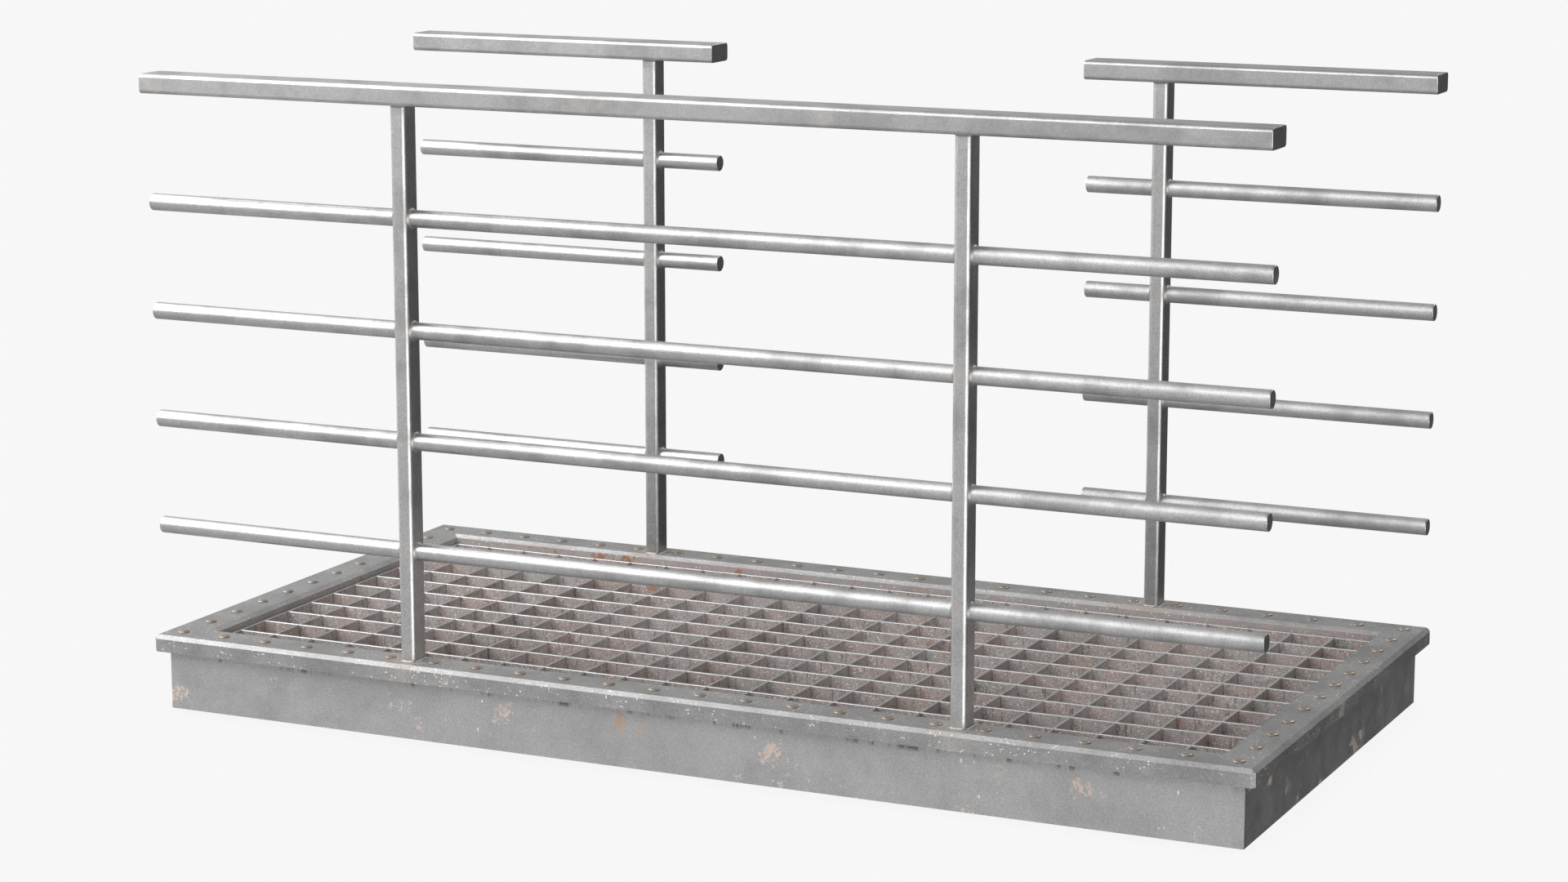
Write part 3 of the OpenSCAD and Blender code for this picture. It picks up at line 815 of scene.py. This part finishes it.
class WALKWAY_OT_welds(bpy.types.Operator):
    """Lay the weld beads round the mid rails and at the posts' feet and heads"""

    bl_idname = "walkway.welds"
    bl_label = "Welds"

    leg: length("Leg", "Leg of the beads at the rails", 4)
    post_leg: length("Post leg", "Leg of the beads at the posts", 4)

    def execute(self, context):
        shape = context.scene.walkway_shape
        finish = weld_metal("Weld bead")
        self.rail_beads(shape, finish)
        self.post_beads(shape, "post_foot_welds", True, finish)
        self.post_beads(shape, "post_head_welds", False, finish)
        return {"FINISHED"}

    def rail_beads(self, shape, finish):
        bm = bmesh.new()
        for post in POSTS:
            low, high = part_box(post)
            for k in range(1, MID_RAILS + 1):
                rail_low, rail_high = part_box(f"front_mid_rail_{k}")
                radius = (rail_high.z - rail_low.z) / 2
                for face_x, side in ((low.x, -1), (high.x, 1)):
                    centre = Vector((face_x, (low.y + high.y) / 2, (rail_low.z + rail_high.z) / 2))
                    old = len(bm.verts)
                    self.ring(bm, centre, radius, side)
                    bm.verts.ensure_lookup_table()
                    flat_half = (high.y - low.y) / 2 - shape.post_corner
                    self.settle(bm.verts[old:], centre, side, flat_half, shape.post_corner)
        outward(bm)
        piece("rail_weld_beads", bm, ["rail_welds"], finish, 50)

    def ring(self, bm, centre, radius, side):
        """A hollowed fillet spun round the rail's axis."""
        sunk = 0.2 * MM
        flush = (1 - BEAD_HOLLOW) * self.leg
        verts = []
        for i in range(BEAD_STEPS + 1):
            share = i / BEAD_STEPS
            turn = math.pi / 2 * share
            along = self.leg * (1 - math.cos(turn) * BEAD_HOLLOW) - flush * (1 - share)
            out = self.leg * (1 - math.sin(turn) * BEAD_HOLLOW) - flush * share
            verts.append(bm.verts.new(centre + Vector((side * along, 0, radius + out))))
        verts.append(bm.verts.new(centre + Vector((-side * sunk, 0, radius - sunk))))
        edges = [bm.edges.new(pair) for pair in zip(verts, verts[1:] + verts[:1])]
        bmesh.ops.spin(
            bm, geom=verts + edges, cent=centre, axis=(1, 0, 0), angle=math.tau, steps=RING_STEPS,
            use_merge=True,
        )
        ring_verts = [v for v in bm.verts if (v.co - centre).length < radius + 2 * self.leg]
        ripple(ring_verts, centre)

    def settle(self, verts, centre, side, flat_half, corner):
        """Lets a ring follow the post where its corner curves away."""
        for vert in verts:
            past = abs(vert.co.y - centre.y) - flat_half
            if past > 0:
                vert.co.x -= side * (corner - math.sqrt(corner * corner - min(past, corner) ** 2))

    def post_beads(self, shape, node, low_end, finish):
        bm = bmesh.new()
        for post in POSTS:
            low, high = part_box(post)
            self.collar(bm, shape, low, high, low_end)
        outward(bm)
        piece(node[:-1] + "_beads", bm, [node], finish, 50)

    def collar(self, bm, shape, low, high, low_end):
        """A hollowed fillet round a post, pulled up ring by ring as it shrinks to the post."""
        size = high - low
        centre = (low + high) / 2
        level, up = (low.z, 1) if low_end else (high.z, -1)
        core = Vector((size.x / 2 - shape.post_corner, size.y / 2 - shape.post_corner))
        part = bmesh.new()
        face = outline(part, size.y, size.x, shape.post_corner, shape.corner_segments)
        stand_up(part)
        bmesh.ops.delete(part, geom=[face], context="FACES_ONLY")
        straight = [e for e in part.edges if e.calc_length() > 10 * MM]
        bmesh.ops.subdivide_edges(part, edges=straight, cuts=9)
        verts, ring = part.verts[:], part.edges[:]
        last = BEAD_STEPS + 2
        for i in range(last + 1):
            if i > 0:
                grown = bmesh.ops.extrude_edge_only(part, edges=ring)["geom"]
                verts = only_verts(grown)
                ring = [g for g in grown if isinstance(g, bmesh.types.BMEdge)]
            turn = math.pi / 2 * min(i, BEAD_STEPS) / BEAD_STEPS
            under = i > BEAD_STEPS
            out = self.post_leg if i == last else self.post_leg * (1 - math.sin(turn))
            rise = 0 if under else self.post_leg * (1 - math.cos(turn))
            for vert in verts:
                flat = vert.co.xy
                inner = Vector([max(-c, min(c, f)) for c, f in zip(core, flat)])
                away = (flat - inner).normalized()
                wave = POST_RIPPLE * math.sin(POST_RIPPLE_RATE * (flat.x - flat.y))
                bead = 0 if i in (0, BEAD_STEPS) or under else wave
                spread = inner + away * (shape.post_corner + out + bead)
                vert.co = (spread.x, spread.y, up * rise)
        bmesh.ops.remove_doubles(part, verts=part.verts[:], dist=1e-5)
        place(part, (centre.x, centre.y, level))
        bmesh.ops.recalc_face_normals(part, faces=part.faces[:])
        join(bm, part)


class WALKWAY_OT_end_plates(bpy.types.Operator):
    """Close the rails' ends with plates whose outer edges are rounded over"""

    bl_idname = "walkway.end_plates"
    bl_label = "End Plates"

    spigot: length("Spigot", "Length of each plate's spigot inside its rail", 12)

    def execute(self, context):
        shape = context.scene.walkway_shape

        def disc(bm, size, cut):
            return circle(bm, size.z / 2 - cut, shape.tube_segments)

        def box(bm, size, cut):
            corner = max(shape.top_rail_corner - cut, 1 * MM)
            return outline(bm, size.y - 2 * cut, size.z - 2 * cut, corner, shape.corner_segments)

        mid_rails = [f"{run}_mid_rail_{k}" for run in RUNS for k in range(1, MID_RAILS + 1)]
        top_rails = [run + "_top_rail" for run in RUNS]
        self.close(shape, "round_end", mid_rails, disc, shape.tube_wall, "Zinc disc")
        self.close(shape, "top_rail_end", top_rails, box, shape.box_wall, "Zinc end")
        return {"FINISHED"}

    def close(self, shape, kind, rails, make, wall, finish_name):
        """Builds the plates of one kind of rail as one piece."""
        bm = bmesh.new()
        for rail in rails:
            self.both_ends(bm, shape, rail, make, wall)
        outward(bm)
        finish = galvanised(finish_name, "Z", patches=0.6)
        piece(kind + "_discs", bm, [kind + "_plates"], finish, 30)

    def both_ends(self, bm, shape, rail, make, wall):
        """A plate and its spigot at each end of a rail."""
        low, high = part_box(rail)
        size, centre = high - low, (low + high) / 2
        for end, inward in ((low.x - shape.end_plate, 1), (high.x + shape.end_plate, -1)):
            plate = bmesh.new()
            pull(plate, [make(plate, size, 0)], (inward * shape.end_plate, 0, 0))
            rim = [e for e in plate.edges if all(abs(v.co.x) < MERGE for v in e.verts)]
            rounded(plate, rim, shape.plate_edge, 3)
            spigot = bmesh.new()
            pull(spigot, [make(spigot, size, wall + SLIP)], (inward * self.spigot, 0, 0))
            for part, at in ((plate, end), (spigot, end + inward * shape.end_plate)):
                place(part, (at, centre.y, centre.z))
                outward(part)
                join(bm, part)


class WALKWAY_OT_deck(bpy.types.Operator):
    """Build the border and the skirt from the pressed sheets, with their edges rounded over"""

    bl_idname = "walkway.deck"
    bl_label = "Border and Skirt"

    def execute(self, context):
        shape = context.scene.walkway_shape
        plate = border_plate("Border plate")
        sheet = skirt_sheet("Skirt sheet")
        for node in ["edge_cap_" + side for side in SIDES]:
            made = softened(node, shape.sheet_edge)
            piece(node + "_pressed", made, [node], plate, 30)
        for node in ["skirt_" + side for side in SIDES]:
            made = softened(node, shape.skirt_edge)
            piece(node + "_channel", made, [node], sheet, 30)
        return {"FINISHED"}


class WALKWAY_OT_grating(bpy.types.Operator):
    """Build the grating's bars with worn, rounded edges; the long bars carry a painted highlight
    and the cross bars a painted shade
    """

    bl_idname = "walkway.grating"
    bl_label = "Grating"

    def execute(self, context):
        edge = context.scene.walkway_shape.bar_edge
        # the long bars' finish has a painted highlight on tops and edges, the cross bars' a painted
        # shade on their tops
        lit_long_bar_finish = grating_steel(
            "Long grating bar with painted highlight", edge_wear_and_highlight=1.0, bare_top_and_highlight=0.9, painted_top_shade=0.0
        )
        shaded_cross_bar_finish = grating_steel(
            "Cross grating bar with painted shade", edge_wear_and_highlight=0.35, bare_top_and_highlight=0.1, painted_top_shade=0.7
        )
        finishes = {f"grating_long_bar_{k}": lit_long_bar_finish for k in range(1, LONG_BARS + 1)}
        finishes |= {"grating_rim": lit_long_bar_finish, "grating_cross_bars": shaded_cross_bar_finish}
        for node, finish in finishes.items():
            piece(node + "_worn", softened(node, edge), [node], finish, 30)
        return {"FINISHED"}


class WALKWAY_OT_understructure(bpy.types.Operator):
    """Finish the beams, ledges and bearers under the deck"""

    bl_idname = "walkway.understructure"
    bl_label = "Under the Deck"

    def execute(self, context):
        finish = hidden_steel("Under-deck steel")
        nodes = [f"edge_beam_{side}" for side in SIDES] + [f"ledge_{side}" for side in SIDES]
        nodes += [f"grating_bearer_{name}" for name in BEARERS]
        for node in nodes:
            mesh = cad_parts[node].data
            mesh.materials.clear()
            mesh.materials.append(finish)
        return {"FINISHED"}


class WALKWAY_OT_rivets(bpy.types.Operator):
    """Spin one rivet and repeat it along all four sides of the border"""

    bl_idname = "walkway.rivets"
    bl_label = "Rivets"

    head_radius: length("Head radius", "Radius of a rivet's head", 12)
    head_rise: length("Head rise", "Height of a rivet's head", 4.5)
    head_rim: length("Head rim", "Height of the upright rim round a rivet's head", 1.1)
    shank_radius: length("Shank radius", "Radius of a rivet's shank", 5)
    tail_radius: length("Tail radius", "Radius of a rivet's closed tail", 8)
    tail_rise: length("Tail rise", "Height of a rivet's closed tail", 3)

    def execute(self, context):
        low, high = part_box("deck_rivets")
        line_x = high.x - self.head_radius
        line_y = high.y - self.head_radius
        long_count = round(2 * line_x / RIVET_STEP)
        short_count = round(2 * line_y / RIVET_STEP)
        along = [i * RIVET_STEP - line_x for i in range(long_count + 1)]
        across = [j * RIVET_STEP - line_y for j in range(1, short_count)]
        places = [(x, s * line_y) for x in along for s in (-1, 1)]
        places += [(s * line_x, y) for y in across for s in (-1, 1)]
        bm = bmesh.new()
        self.rivet(bm, low.z)
        first = bm.faces[:] + bm.edges[:] + bm.verts[:]
        for x, y in places[1:]:
            copy = bmesh.ops.duplicate(bm, geom=first)
            place(bm, (x, y, 0), only_verts(copy["geom"]))
        place(bm, (*places[0], 0), only_verts(first))
        bmesh.ops.recalc_face_normals(bm, faces=bm.faces[:])
        piece("deck_rivets_domed", bm, ["deck_rivets"], rivet_metal("Rivet head"), 40)
        return {"FINISHED"}

    def rivet(self, bm, tail_z):
        """A domed head with a small upright rim, a shank and a flat tail, spun as one profile."""
        dome_steps, turn_steps = 7, 28
        crown = DECK_TOP + self.head_rise
        seat = DECK_TOP + 0.02 * MM
        tail_top = tail_z + self.tail_rise
        profile = [(0.0, crown)]
        for i in range(1, dome_steps + 1):
            out = math.sin(math.pi / 2 * i / dome_steps)
            drop = (self.head_rise - self.head_rim) * (1 - math.sqrt(max(0.0, 1 - out * out)))
            profile.append((self.head_radius * out, crown - drop))
        profile += [(self.head_radius, seat), (self.shank_radius, seat)]
        profile += [(self.shank_radius, tail_top), (self.tail_radius, tail_top)]
        profile += [(self.tail_radius, tail_z), (0.0, tail_z)]
        verts = [bm.verts.new((x, 0, z)) for x, z in profile]
        edges = [bm.edges.new(pair) for pair in zip(verts, verts[1:])]
        bmesh.ops.spin(
            bm, geom=verts + edges, cent=(0, 0, 0), axis=(0, 0, 1), angle=math.tau,
            steps=turn_steps, use_merge=True,
        )
        bmesh.ops.remove_doubles(bm, verts=bm.verts[:], dist=MERGE)


# ---- stage ----


# the floor's radius in metres, how far a contact shade reaches, and how pale it stays there
FLOOR_RADIUS = 90
CONTACT_REACH = 0.12
FLOOR_CONTACT = 0.955
# name, place, what it is aimed at, size in metres and power in watts
SOFTBOXES = (
    ("Overhead softbox", (-4.6, -1.2, 5.4), (-2.0, -0.4, 0.6), (6.0, 5.0), 240),
    ("High front softbox", (-5.0, -4.2, 3.9), (-0.9, -0.5, 0.8), (4.0, 3.4), 210),
    ("High right softbox", (-0.3, -4.9, 4.3), (0.8, -0.5, 0.8), (3.4, 2.6), 75),
    ("Back softbox", (2.5, 5.5, 5.0), (0, 0.3, 0.5), (3.5, 3.0), 130),
)


class WALKWAY_OT_stage(bpy.types.Operator):
    """Set up the pale floor, the studio light and the camera"""

    bl_idname = "walkway.stage"
    bl_label = "Stage"

    def execute(self, context):
        stage = context.scene.walkway_stage
        self.floor(stage)
        self.studio(context.scene, stage)
        for softbox in SOFTBOXES:
            self.softbox(*softbox)
        self.camera(context.scene, stage)
        context.scene.view_settings.view_transform = "Standard"
        return {"FINISHED"}

    def floor(self, stage):
        bm = bmesh.new()
        bmesh.ops.create_circle(bm, cap_ends=True, segments=96, radius=FLOOR_RADIUS)
        floor = as_object("floor", bm)
        finish = bpy.data.materials.new("Studio floor")
        finish.use_nodes = True
        tree = finish.node_tree
        tree.nodes.clear()
        near = add(tree, "ShaderNodeAmbientOcclusion", {"Distance": CONTACT_REACH}, samples=16)
        shade = smooth_step(tree, near.outputs["AO"], 0.2, 1.0)
        dark = [FLOOR_CONTACT * c for c in stage.backdrop]
        color = blend_colors(tree, shade, dark, stage.backdrop)
        glow = add(tree, "ShaderNodeEmission", {"Color": color, "Strength": 1.0})
        add(tree, "ShaderNodeOutputMaterial", {"Surface": glow.outputs["Emission"]})
        floor.data.materials.append(finish)
        floor.visible_diffuse = False
        floor.visible_glossy = False
        floor.visible_shadow = False

    def studio(self, scene, stage):
        """A dim room, a bright window in front and a paler left side; plain to the camera."""
        world = bpy.data.worlds.new("Studio")
        scene.world = world
        world.use_nodes = True
        tree = world.node_tree
        tree.nodes.clear()
        look = add(tree, "ShaderNodeTexCoord").outputs["Generated"]

        def facing(*direction):
            aim = Vector(direction).normalized()
            node = add(tree, "ShaderNodeVectorMath", {0: look, 1: aim}, operation="DOT_PRODUCT")
            return node.outputs["Value"]

        def glow(aim, low, high, power):
            return math_node(tree, "MULTIPLY", smooth_step(tree, aim, low, high), power)

        room = add(
            tree, "ShaderNodeMapRange",
            {"Value": facing(-0.7, -0.7, 0), "From Min": -1.0, "From Max": 1.0,
             "To Min": 0.03, "To Max": 0.60},
            clamp=True,
        ).outputs["Result"]
        window = glow(facing(0.68, -0.73, -0.14), 0.86, 0.92, 2.5)
        left = glow(facing(-0.9, 0.42, 0.1), 0.5, 0.9, 0.5)
        strength = math_node(tree, "ADD", math_node(tree, "ADD", room, window), left)

        def shone(color, power):
            inputs = {"Color": color, "Strength": power}
            return add(tree, "ShaderNodeBackground", inputs).outputs["Background"]

        seen = add(tree, "ShaderNodeLightPath").outputs["Is Camera Ray"]
        sides = {0: seen, 1: shone((1, 1, 1), strength), 2: shone(stage.backdrop, 1.0)}
        pick = add(tree, "ShaderNodeMixShader", sides)
        add(tree, "ShaderNodeOutputWorld", {"Surface": pick.outputs[0]})

    def softbox(self, name, at, target, size, power):
        data = bpy.data.lights.new(name, "AREA")
        data.shape = "RECTANGLE"
        data.size, data.size_y = size
        data.energy = power
        lamp = bpy.data.objects.new(name, data)
        lamp.location = at
        lamp.rotation_euler = (Vector(target) - Vector(at)).to_track_quat("-Z", "Y").to_euler()
        lamp.visible_camera = False
        bpy.context.scene.collection.objects.link(lamp)

    def camera(self, scene, stage):
        data = bpy.data.cameras.new("Camera")
        data.sensor_width = 36
        data.lens = stage.lens
        data.clip_end = 200
        camera = bpy.data.objects.new("Camera", data)
        camera.location = stage.camera_place
        camera.rotation_euler = stage.camera_turn
        scene.collection.objects.link(camera)
        scene.camera = camera


# ---- panel ----


class WALKWAY_PT_panel(bpy.types.Panel):
    """Lists the walkway's operators and settings"""

    bl_idname = "WALKWAY_PT_panel"
    bl_label = "Raised Walkway"
    bl_space_type = "VIEW_3D"
    bl_region_type = "UI"
    bl_category = "Walkway"

    def draw(self, context):
        layout = self.layout
        for operator in OPERATORS:
            layout.operator(operator.bl_idname)
        for title, group in (
            ("Shape", context.scene.walkway_shape),
            ("Finish", context.scene.walkway_finish),
            ("Stage", context.scene.walkway_stage),
        ):
            box = layout.box()
            box.label(text=title)
            for key in group.__annotations__:
                box.prop(group, key)


OPERATORS = (
    WALKWAY_OT_top_rails,
    WALKWAY_OT_mid_rails,
    WALKWAY_OT_posts,
    WALKWAY_OT_welds,
    WALKWAY_OT_end_plates,
    WALKWAY_OT_deck,
    WALKWAY_OT_grating,
    WALKWAY_OT_understructure,
    WALKWAY_OT_rivets,
    WALKWAY_OT_stage,
)
CLASSES = (WalkwayShape, WalkwayFinish, WalkwayStage, *OPERATORS, WALKWAY_PT_panel)


def register():
    for cls in CLASSES:
        bpy.utils.register_class(cls)
    bpy.types.Scene.walkway_shape = PointerProperty(type=WalkwayShape)
    bpy.types.Scene.walkway_finish = PointerProperty(type=WalkwayFinish)
    bpy.types.Scene.walkway_stage = PointerProperty(type=WalkwayStage)


def unregister():
    del bpy.types.Scene.walkway_stage
    del bpy.types.Scene.walkway_finish
    del bpy.types.Scene.walkway_shape
    for cls in reversed(CLASSES):
        bpy.utils.unregister_class(cls)


def main():
    register()
    bpy.ops.walkway.top_rails()
    bpy.ops.walkway.mid_rails()
    bpy.ops.walkway.posts()
    bpy.ops.walkway.welds()
    bpy.ops.walkway.end_plates()
    bpy.ops.walkway.deck()
    bpy.ops.walkway.grating()
    bpy.ops.walkway.understructure()
    bpy.ops.walkway.rivets()
    bpy.ops.walkway.stage()


if __name__ == "__main__":
    main()
